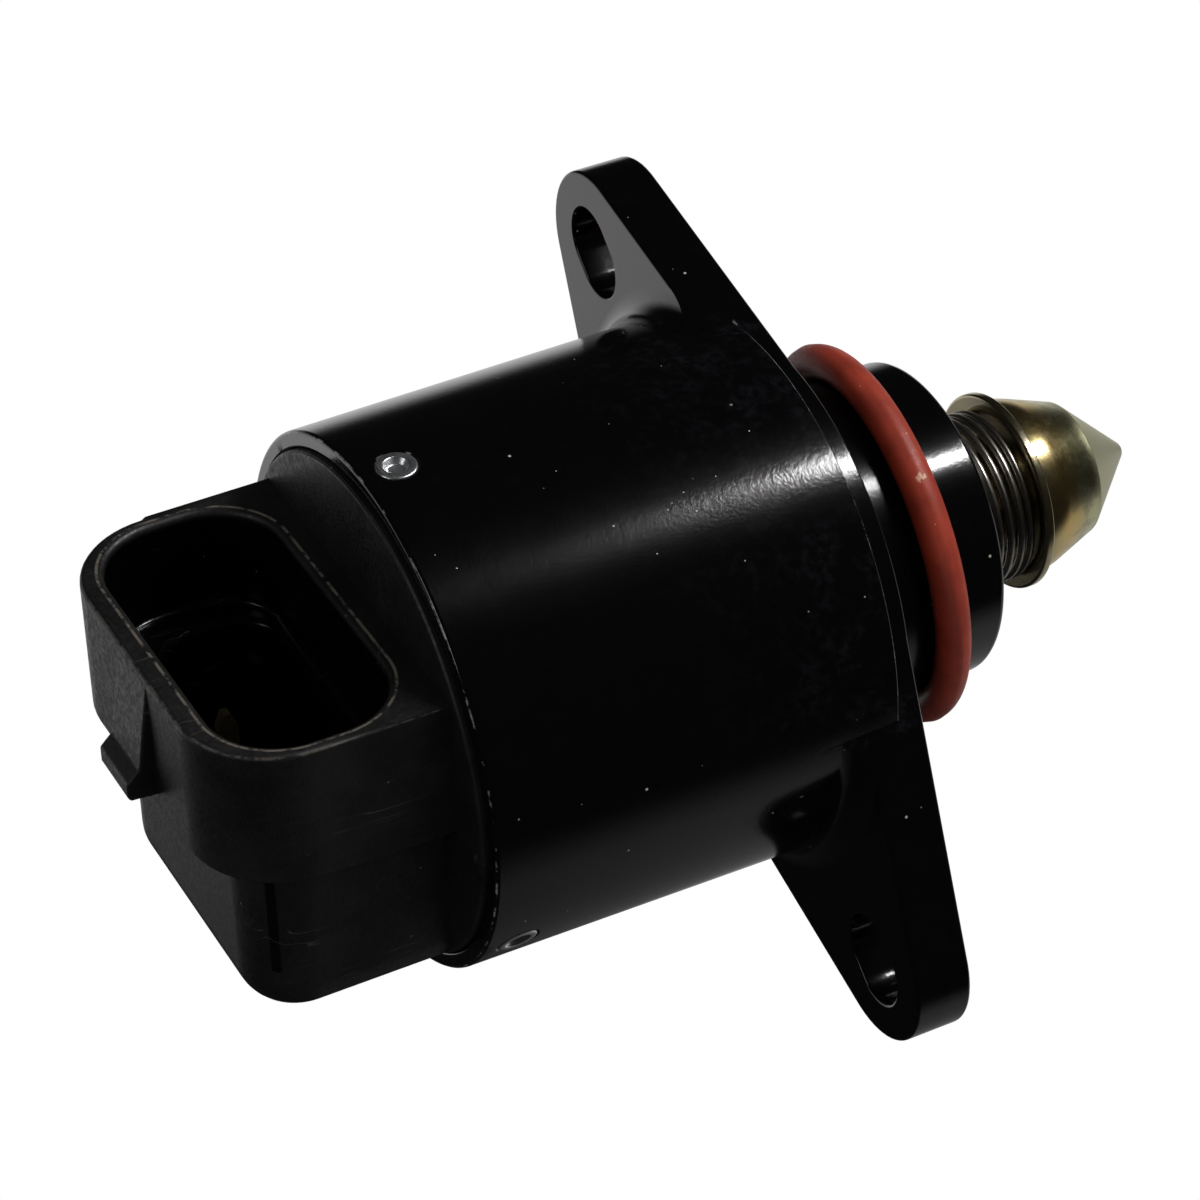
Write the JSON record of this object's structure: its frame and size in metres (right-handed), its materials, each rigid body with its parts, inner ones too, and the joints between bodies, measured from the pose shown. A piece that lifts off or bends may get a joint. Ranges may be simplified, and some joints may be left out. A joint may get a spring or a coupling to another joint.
{
  "type": "idle air control valve",
  "caption": "Flange-mounted idle air valve: black cylindrical motor housing, plug socket at the rear, sealed spigot with spring-loaded conical pintle.",
  "frame": {"origin": "centre of the spigot on the front (mating) face of the flange", "axes": "+X along the valve axis towards the pintle, +Z towards the upper flange ear, -Y towards the plug side"},
  "size_m": [0.0737, 0.036, 0.0611],
  "materials": {
    "black_anodised": "black anodised, satin gloss",
    "black_moulding": "moulded, slightly grainy",
    "terminal_tin": "plated terminal",
    "zinc": "bright zinc, staked",
    "black_rubber": "smooth rubber",
    "red_rubber": "brick red silicone",
    "nylon": "natural moulding",
    "bearing_steel": "ground",
    "cage_brass": "pressed",
    "bronze": "sintered",
    "pole_steel": "zinc plated sheet",
    "copper_wire": "enamelled winding",
    "ferrite": "sintered ferrite",
    "yellow_zinc": "yellow passivated zinc",
    "screw_steel": "rolled thread",
    "spring_steel": "zinc plated wire"
  },
  "bodies": {
    "valve_body": {"housing": "black_anodised", "connector_cap": "black_moulding", "terminal_1": "terminal_tin", "terminal_2": "terminal_tin", "terminal_3": "terminal_tin", "terminal_4": "terminal_tin", "stake_pins": "zinc", "cap_seal": "black_rubber", "flange_seal": "red_rubber", "guide_bush": "nylon", "bearing_outer_ring": "bearing_steel", "rear_bush": "bronze", "thrust_washer": "bearing_steel", "end_plate": "pole_steel", "front_pole_cup": "pole_steel", "front_pole_plate": "pole_steel", "rear_pole_plate": "pole_steel", "rear_pole_cup": "pole_steel", "front_bobbin": "nylon", "front_coil": "copper_wire", "rear_bobbin": "nylon", "rear_coil": "copper_wire", "pintle_spring": "spring_steel"},
    "rotor": {"rotor_hub": "nylon", "rotor_magnet": "ferrite", "bearing_inner_ring": "bearing_steel"},
    "ball_set": {"bearing_balls": "bearing_steel", "ball_cage": "cage_brass"},
    "pintle": {"pintle": "yellow_zinc", "lead_screw": "screw_steel"}
  },
  "joints": [
    {"name": "pintle_slide", "type": "slide", "parent": "valve_body", "child": "pintle", "axis": [1, 0, 0], "range_m": [-0.0038, 0.0042], "deforming": ["pintle_spring"]},
    {"name": "rotor_spin", "type": "hinge", "parent": "valve_body", "child": "rotor", "pos_m": [-0.0124, 0, 0], "axis": [1, 0, 0], "range_deg": [-1380, 1525]},
    {"name": "ball_cage_turn", "type": "hinge", "parent": "valve_body", "child": "ball_set", "pos_m": [-0.0007, 0, 0], "axis": [1, 0, 0], "range_deg": [-565, 625]}
  ],
  "couplings": [
    {"joint": "rotor_spin", "follows": "pintle_slide", "rad_per_m": 6283.2},
    {"joint": "ball_cage_turn", "follows": "pintle_slide", "rad_per_m": 2565.4}
  ]
}
